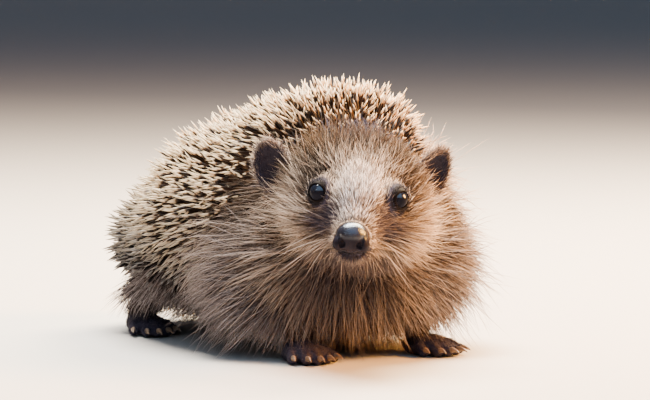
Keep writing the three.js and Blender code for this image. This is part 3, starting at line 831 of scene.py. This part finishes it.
def leaning(normal, way, lift, swing, rng):
    """Unit vectors lifted off the hide by degrees, and swung to either side of the lie at random."""
    lift, swing = np.radians(lift)[:, None], np.radians(swing * rng.normal(size=len(normal)))[:, None]
    across = np.cross(normal, way)
    flat = way * np.cos(swing) + across * np.sin(swing)
    return flat * np.cos(lift) + normal * np.sin(lift)


def body_unwrap(p):
    """The hide unrolled round the body: the angle from the top, and the distance back."""
    on_head = 1 - rise(-66, -54, station_of(p.T))
    q = local(HEAD, p.T)
    angle = np.arctan2(q[0], q[2] + 3) * on_head + np.arctan2(p[:, 0], p[:, 2] - 34) * (1 - on_head)
    return np.stack([angle, station_of(p.T)], 1)


def eye_gap(p):
    """The distance from a point to the middle of the nearer eye."""
    x, y, z = local(HEAD, p)
    return np.minimum(*(length_of((x - EYE_AT[0] * side, y - EYE_AT[1], z - EYE_AT[2])) for side in (1, -1)))


def nose_gap(p):
    return ellipsoid(local(HEAD, p), NOSE_AT, NOSE_RADII)


hide_station = station_of(hide_points.T)
hide_over = above_fringe(hide_points.T)
ear_skin = on_ear(hide_points.T)
foot_skin = on_foot(hide_points.T)
ear_near = ear_gap(hide_points.T)
bare = (eye_gap(hide_points.T) < 3.5) | (nose_gap(hide_points.T) < 0.15)
for side in (1, -1):
    bare = bare | (orbit(local(eye_place(side), hide_points.T))[1] < 0.12)


# ---------------------------------------------------------------- quills
# More than five thousand spines of horn from the brow to the rump: cream, with one dark band
# below a sharp pale point. They lean back and cross each other, nearly upright over the brow.

quill_horn, n, shader = principled("quill horn", Roughness=0.45, Specular_IOR_Level=0.2)
along, tone = n.attribute("along"), n.attribute("tone")
shifted = n.math("ADD", along, n.math("MULTIPLY", tone, 0.1))
bands = n.add("ShaderNodeValToRGB", Fac=shifted)
stops = bands.color_ramp.elements
stops[0].color = tint(84, 66, 52)
stops[1].color = tint(252, 237, 205)
for position, colour in (
    (0.40, tint(136, 110, 88)),
    (0.52, tint(54, 38, 30)),
    (0.75, tint(38, 27, 22)),
    (0.79, tint(104, 80, 62)),
    (0.83, tint(240, 217, 183)),
):
    stops.new(position).color = colour
grain = n.cloud(1500.0, 3.0)
streaked = n.filter(grain, bands.outputs[0], tint(216, 204, 188))
rusty = n.add("ShaderNodeSeparateColor", i0=n.attribute("marks", "Color")).outputs[2]
browned = n.filter(rusty, streaked, tint(134, 106, 74))
# Painted shade: the quills turn darker and bluer low on the body, by the same grey mark as the coat.
n.put(shader, "Base Color", n.filter(n.attribute("marks", "Alpha"), browned, tint(104, 112, 136)))
bump(n, shader, grain, 0.2, 0.0001)

rng = np.random.default_rng(11)
sparse = 0.5 * rise(-12, -4, hide_over) * (1 - rise(-60, -46, hide_station)) * rise(14, 19, ear_near)
quilled = np.maximum(quilled_at(hide_points.T), sparse) * (1 - rise(0.05, 0.5, ear_skin)) * (foot_skin < 0.1)
crowding = 0.41 + 0.06 * rise(50, 70, hide_points[:, 2]) - 0.16 * (1 - rise(-56, -34, hide_station))
at, normal = scatter(crowding * quilled, 11)
station = station_of(at.T)
brow = 1 - rise(-56, -30, station)
crest = (1 - rise(-30, 0, station)) * (1 - rise(0, 15, at[:, 0]))
rump = rise(55, 80, at[:, 1])
way = lie(at, normal, down=0.7)
sideways = np.stack([np.sign(at[:, 0] + 4) * 0.35, np.zeros(len(at)), -0.7 * rump], 1)
way = unit(way + sideways * (1 - brow)[:, None])
lift = 51 + 9 * brow + 14 * rng.normal(size=len(at))
aim = leaning(normal, way, np.clip(lift, 18, 84), 36 + 4 * brow, rng)
reach = (1 - 0.4 * brow - 0.2 * rump) * (1 - 0.06 * crest) * (1 - 0.04 * rise(50, 72, at[:, 2]))
reach = reach * rng.uniform(0.84, 1.08, len(at)) * (0.7 + 0.3 * rise(-2, 10, above_fringe(at.T)))
thick = rng.uniform(0.85, 1.15, len(at))
marks = marks_at(at.T)
marks[:, 2] = (1 - rise(-42, -22, station)) * (0.45 + 0.55 * rng.random(len(at)))
roots = {
    "at": at - normal * 0.6,
    "aim": aim,
    "bend": -normal * 0.9 + rng.normal(scale=0.7, size=at.shape),
    "size": np.stack([thick, thick, reach], 1),
    "tone": rng.random(len(at)) - 0.9 * (1 - rise(-50, -28, station)),
    "marks": marks,
    "unwrap": body_unwrap(at),
}


def chosen(roots, mask):
    return {key: values[mask] for key, values in roots.items()}


for name, low, high in (("front", -200, -8), ("middle", -8, 36), ("rear", 36, 200)):
    part = chosen(roots, (station >= low) & (station < high))
    coat_piece(f"quills_{name}", part, QUILL, 16.6, 0.48, quill_horn)


# ---------------------------------------------------------------- fur
# Coarse hair over the face, flanks, belly and legs: short and fine on the muzzle, growing to long
# loose locks in the ruff, dark at the root and cream at the tip, with clumps that share a point.

hair, n, shader = principled("hair", Roughness=0.6, Specular_IOR_Level=0.05)
colour = n.add("ShaderNodeGroup", {"node_tree": COAT_COLOURS}, **COAT_TINTS)
n.put(shader, "Base Color", colour.outputs[0])


def near_legs(p):
    """One on the lower legs and the tail, where the hair is short, falling to zero above them."""
    gaps = [shank(p, plan, side) for (_, side), plan in LEGS.items()]
    on_shank = (1 - rise(1.0, 4.0, np.minimum.reduce(gaps))) * (1 - rise(12, 24, p[2]))
    return np.maximum.reduce([on_shank, 1 - rise(1.5, 4, tail(p)), on_foot(p)])


rng = np.random.default_rng(23)
short_skin = near_legs(hide_points.T)
low_down = rise(-0.25, -0.75, hide_normals[:, 2]) * (hide_station > -62)
density = 10.5 - 4.0 * rise(-94, -72, hide_station) - 1.6 * rise(-70, -50, hide_station)
density = density - 1.2 * rise(-30, 10, hide_station)
density = density * (1 - 0.62 * low_down) * (1 - quilled_at(hide_points.T))
density = density * (1 - rise(6, 16, hide_over) * (ear_near > 19))
density = density * ~bare * (ear_skin < 0.3) * (short_skin < 0.5) * (0.45 + 0.55 * rise(9, 15, ear_near))
at, normal = scatter(density, 23)
station = station_of(at.T)
over = above_fringe(at.T)
aside, _, up = local(HEAD, at.T)
past_eye = eye_gap(at.T)
fluffy = np.maximum(rise(5, 15, np.abs(aside)), 1 - rise(-9, -1, up))
ears = ear_gap(at.T)
under = rise(-0.25, -0.75, normal[:, 2]) * (station > -62)
crown = rise(5, 15, up) * (1 - rise(-50, -40, station))
on_brow = rise(-20, -8, over) * (1 - rise(-55, -40, station))
length = 2.1 + 1.8 * rise(-105, -95, station) + 3.0 * rise(-97, -76, station)
length = length + 6.5 * fluffy * rise(-101, -82, station) + 10 * rise(-82, -54, station) * (1 - 0.75 * crown)
inward = 1 - rise(-7, 1, np.abs(aside) - np.where(aside > 0, 21, 28))
by_ear = np.maximum(0.25 + 0.75 * rise(9, 23, ears), 0.9 * inward * (1 - rise(5, 12, up)))
length = (length + 3.5 * on_brow) * by_ear * (1 - 0.45 * rise(-9, 2, over) * rise(-62, -46, station))
length = length * (0.25 + 0.75 * rise(3.8, 11, past_eye)) - 6 * under * rise(-60, -40, station)
length = length * (1 - 0.6 * near_legs(at.T)) * (0.5 + 0.5 * rise(0.3, 3, nose_gap(at.T)))
guard = rng.random(len(at)) < 0.32
stray = guard & (rng.random(len(at)) < 0.3) & (on_brow < 0.3) & (ears > 17) & (over < -12)
reach = length * rng.uniform(0.65, 1.15, len(at)) * (1 + 0.12 * guard + 0.25 * stray)
eyes_at = np.where(aside > 0, 1, -1)[:, None] * np.array([EYE_AT[0], 0, 0]) + np.array([0, *EYE_AT[1:]])
from_eye = unit(at - (eyes_at @ HEAD[0].T + HEAD[1]))
way = flat_on(normal, lie(at, normal) + from_eye * 0.7 * (1 - rise(4, 9, past_eye))[:, None])
lift = 18 + 10 * rise(-92, -60, station) - 2 * on_brow + 7 * rng.normal(size=len(at))
lift = lift * (0.6 + 0.4 * rise(4, 10, past_eye))
swing = (10 + 10 * rise(-88, -54, station)) * (1 + 0.5 * stray)
aim = leaning(normal, way, np.clip(lift + 4 * guard + 3 * stray, 6, 80), swing, rng)
droop = np.zeros_like(at)
droop[:, 2] = -0.16 * rise(-75, -50, station) * (1 - crown)
wander = rng.normal(scale=0.05 + 0.05 * rise(-85, -50, station)[:, None], size=at.shape)
bend = (way * 0.10 - normal * 0.14 + droop + wander) * reach[:, None]


def gathered(at, tips, share, rng):
    """Each root's lock: the tip of a guide root near it, and that guide's own number."""
    guides = rng.permutation(len(at))[: len(at) // share]
    tree = KDTree(len(guides))
    for index, guide in enumerate(guides):
        tree.insert(at[guide], index)
    tree.balance()
    near = at + rng.normal(scale=0.6, size=at.shape)
    found = np.array([tree.find(point)[1] for point in near])
    return tips[guides][found], found


tips = at + aim * reach[:, None] + bend
lock_tips, lock = gathered(at, tips, 11, rng)
pull = (0.38 * rise(-88, -58, station) * (1 - 0.8 * stray))[:, None]
lock_pull = (lock_tips - tips) * pull
limit = 0.35 * reach[:, None] / (np.linalg.norm(lock_pull, axis=1, keepdims=True) + 1e-6)
bend = bend + lock_pull * np.minimum(1, limit)
tips = at + aim * reach[:, None] + bend
run = tips[:, 0] - at[:, 0]
widest = np.where(run > 0, 56, -54)  # no tip stands out further than this
fit = np.minimum(1, (widest - at[:, 0]) / (run + 1e-9))
reach, bend = reach * fit, bend * fit[:, None]
tips = at + aim * reach[:, None] + bend
bend[:, 2] += np.maximum(0, 0.6 - tips[:, 2])
own_tone = np.where(guard, rng.uniform(0.75, 1.0, len(at)), rng.uniform(0.0, 0.5, len(at)))
tone = np.clip(0.25 * rng.random(lock.max() + 1)[lock] + 0.75 * own_tone, 0, 1)
# The brow's hair is darker, and most of it dark at random: partly dark hairs, partly painted shade under the
# overhanging quills.
tone = tone * (1 - 0.38 * on_brow)
thick = (0.72 + 0.38 * rise(-84, -50, station) + 0.2 * on_brow) * rng.uniform(0.75, 1.2, len(at))
marks = marks_at(at.T)
marks[:, 1] = np.maximum(marks[:, 1], 0.95 * on_brow * (rng.random(len(at)) < 0.62))
roots = {
    "at": at - normal * 0.25,
    "aim": aim,
    "bend": bend,
    "size": np.stack([thick, thick, reach], 1),
    "tone": tone,
    "marks": marks,
    "unwrap": body_unwrap(at),
}
left = at[:, 0] > np.interp(at[:, 1], (-100, -44, 100), (-33, -3.4, 0))
for name, low, high, rod in (
    ("face", -200, -74, SHORT),
    ("cheek", -74, -56, MIDDLE),
    ("ruff", -56, -29.5, MIDDLE),
    ("flank", -29.5, 200, MIDDLE),
):
    stretch = (station >= low) & (station < high)
    for hand, half in (("left", left), ("right", ~left)):
        coat_piece(f"fur_{name}_{hand}", chosen(roots, stretch & half), rod, 1, 0.11, hair)


# ---------------------------------------------------------------- whiskers
# Long fine bristles from the pads on both sides of the muzzle, dark at the root and most of them
# pale at the tip. They sweep out, back and down in a slow curve.

taper = ((0, 1), (0.15, 0.95), (0.3, 0.88), (0.45, 0.78), (0.6, 0.64), (0.75, 0.48), (0.88, 0.3))
BRISTLE = strand("bristle", 4, taper)
rng = np.random.default_rng(41)
sides = [1] * 11 + [-1] * 11
pads = [(side * rng.uniform(4.5, 8.5), rng.uniform(-42, -31), rng.uniform(-7.5, -2.0)) for side in sides]
pads = np.array(pads) @ HEAD[0].T + HEAD[1]
tree = KDTree(len(hide_points))
for index, point in enumerate(hide_points):
    tree.insert(point, index)
tree.balance()
found = np.array([tree.find(point)[1] for point in pads])
at, normal = hide_points[found], hide_normals[found]
way = lie(at, normal)
down = np.zeros_like(at) + (0, 0, -1)
reach = rng.uniform(17, 29, len(at))
aim = leaning(normal, way, rng.uniform(28, 60, len(at)), 14, rng)
whisker_roots = {
    "at": at - normal * 0.4,
    "aim": unit(aim + down * rng.uniform(-0.1, 0.35, (len(at), 1))),
    "bend": (way * 0.12 + down * 0.16) * reach[:, None],
    "size": np.stack([rng.uniform(0.8, 1.15, len(at))] * 2 + [reach], 1),
    "tone": np.where(rng.random(len(at)) < 0.7, 1.0, 0.2),
    "marks": np.tile((0.5, 0.0, 0.0, 0.0), (len(at), 1)),
    "unwrap": body_unwrap(at),
}
coat_piece("whiskers", whisker_roots, BRISTLE, 1, 0.085, hair)


# ---------------------------------------------------------------- hair of the ears, legs and tail
# Short close hair where the hide would show: a soft pale brown fringe round each ear with dark down in its
# cup, darkened further by painted shade, and flat brown hair down the legs, over the feet and along the tail.

rng = np.random.default_rng(31)
at, normal = scatter(6.5 * rise(0.25, 0.6, ear_skin), 31)
owner = [local(place, at.T) for place in EAR_PLACES.values()]
right_ear = np.abs(owner[1][0]) + np.abs(owner[1][1]) < np.abs(owner[0][0]) + np.abs(owner[0][1])
leaf = np.where(right_ear, owner[1], owner[0]).T
turns = np.array([place[0] for place in EAR_PLACES.values()])[right_ear.astype(int)]
outward = np.stack([leaf[:, 0], np.full(len(at), 1.5), leaf[:, 2] + 2], 1)
way = flat_on(normal, unit(np.einsum("nij,nj->ni", turns, unit(outward))))
rim = rise(0.62, 0.95, np.hypot(leaf[:, 0] / (EAR_WIDTH / 2), (leaf[:, 2] - EAR_MIDDLE) / (EAR_HEIGHT / 2)))
# Inside each cup the hair's tips are darker, and away from the rim the hair is nearly black: partly dark
# down, partly painted shade in the hollow.
cup_dark_and_shade = (np.einsum("nij,nj->ni", turns.transpose(0, 2, 1), normal)[:, 1] < -0.1) * (1 - rim)
reach = (1.5 + 2.2 * rim) * rng.uniform(0.6, 1.2, len(at))
marks = marks_at(at.T)
marks[:, 1] = 1.6 - 1.15 * rim - 0.9 * (rng.random(len(at)) > 0.86)
marks[:, 2] = 0
ear_roots = {
    "at": at - normal * 0.2,
    "aim": leaning(normal, way, np.clip(20 + 6 * rng.normal(size=len(at)), 6, 60), 14, rng),
    "bend": -normal * reach[:, None] * 0.15,
    "size": np.stack([np.full(len(at), 0.75)] * 2 + [reach], 1),
    "tone": (0.1 + 0.8 * rng.random(len(at))) * (1 - 0.7 * cup_dark_and_shade),
    "marks": marks,
    "unwrap": np.stack([leaf[:, 0] / EAR_WIDTH + 2 * right_ear + (leaf[:, 1] > 3), leaf[:, 2]], 1),
}
coat_piece("fur_ears", ear_roots, SHORT, 1, 0.13, hair)

rng = np.random.default_rng(37)
soles = rise(0.2, -0.3, hide_normals[:, 2]) * (hide_points[:, 2] < 3)
haired = (short_skin >= 0.5) * (1 - soles) * (ear_skin < 0.1) * (hide_points[:, 2] > 0.4)
at, normal = scatter(2.9 * haired, 37)
back_way = np.zeros_like(at) + (0, -0.35, -1)
on_tail = tail(at.T) < 3
back_way[on_tail] = (0.1, 1, -0.65)
feet = on_foot(at.T)
back_way = back_way * (1 - feet[:, None]) + np.array([0, -1, -0.1]) * feet[:, None]
way = flat_on(normal, back_way)
reach = (5.2 - 3.0 * feet) * rng.uniform(0.6, 1.2, len(at))
aim = leaning(normal, way, np.clip(20 + 5 * rng.normal(size=len(at)), 5, 60), 10, rng)
bend = -normal * reach[:, None] * 0.16
tips = at + aim * reach[:, None] + bend
bend[:, 2] += np.maximum(0, 0.5 - tips[:, 2])
angle = np.arctan2(at[:, 0] - np.sign(at[:, 0]) * 27, at[:, 1] % 50 - 25)
leg_roots = {
    "at": at - normal * 0.2,
    "aim": aim,
    "bend": bend,
    "size": np.stack([np.full(len(at), 0.8)] * 2 + [reach], 1),
    "tone": rng.random(len(at)) * 0.8,
    "marks": marks_at(at.T),
    "unwrap": np.stack([angle + 7 * (at[:, 0] > 0) + 14 * (at[:, 1] > 10), at[:, 2]], 1),
}
coat_piece("fur_legs_and_tail", leg_roots, SHORT, 1, 0.13, hair)


# ---------------------------------------------------------------- the studio
# A pale floor that bends up into a wall, and five lamps: a low warm key on the animal's left, a cool
# fill in front, two from behind and above, and a small one for the eyes. The long lens faces the head.

def look_from(azimuth, elevation):
    """The direction from the animal towards a viewer."""
    a, e = math.radians(azimuth), math.radians(elevation)
    return Vector((math.sin(a) * math.cos(e), -math.cos(a) * math.cos(e), math.sin(e)))


def soft_box(name, azimuth, elevation, distance, size, power, colour):
    """A square lamp turned to the animal, with its distance and size in metres."""
    light = bpy.data.lights.new(name, "AREA")
    light.size = size
    light.energy = power
    light.color = colour
    lamp = bpy.data.objects.new(name, light)
    away = look_from(azimuth, elevation)
    lamp.location = Vector((0, -0.03, 0.04)) + away * distance
    lamp.rotation_euler = away.to_track_quat("Z", "Y").to_euler()
    bpy.context.collection.objects.link(lamp)


soft_box("warm_key", 60, 29, 0.95, 0.42, 62.0, (1.0, 0.41, 0.07))
soft_box("cool_fill", -16, 48, 1.0, 1.05, 5.8, (0.52, 0.74, 1.0))
soft_box("rim", 120, 48, 0.9, 0.4, 50.0, (1.0, 0.76, 0.49))
soft_box("top", 172, 72, 0.9, 0.5, 62.0, (1.0, 0.92, 0.82))
soft_box("catch_light", -58, 34, 1.0, 0.07, 0.5, (0.9, 0.95, 1.0))

world = bpy.data.worlds.new("studio")
world.use_nodes = True
world.node_tree.nodes["Background"].inputs["Color"].default_value = (0.52, 0.70, 1.0, 1)
world.node_tree.nodes["Background"].inputs["Strength"].default_value = 0.2
bpy.context.scene.world = world

floor_paint, n, shader = principled("floor paint", Roughness=0.8)
shader.inputs["Base Color"].default_value = tint(186, 183, 178)
FLAT, COVE, SIDES = 4000, 2500, 64  # the radius of its flat part and of the bend up round it, and its sides
bends = np.linspace(0.1, math.pi / 2, 14)
rings = [(FLAT, 0)] + [(FLAT + COVE * math.sin(a), COVE - COVE * math.cos(a)) for a in bends]
around = [(math.cos(a), math.sin(a)) for a in np.linspace(0, 2 * math.pi, SIDES + 1)[:-1]]
points = [(0, 0, 0)] + [(radius * c, radius * s, height) for radius, height in rings for c, s in around]
faces = [(0, 1 + i, 1 + (i + 1) % SIDES) for i in range(SIDES)] + ring_sides(len(rings), SIDES, start=1)
floor = mesh_of("floor", np.array(points), faces, floor_paint)

MIDDLE_OF_VIEW = Vector((-39.7, -93.9, 56.4)) * MM
CAMERA_AWAY = 1119 * MM
camera = bpy.data.cameras.new("camera")
camera.lens = 200
camera.clip_start = 0.05
camera_object = bpy.data.objects.new("camera", camera)
towards_camera = look_from(-28, 4.5)
camera_object.location = MIDDLE_OF_VIEW + towards_camera * CAMERA_AWAY
camera_object.rotation_euler = towards_camera.to_track_quat("Z", "Y").to_euler()
bpy.context.collection.objects.link(camera_object)
bpy.context.scene.camera = camera_object
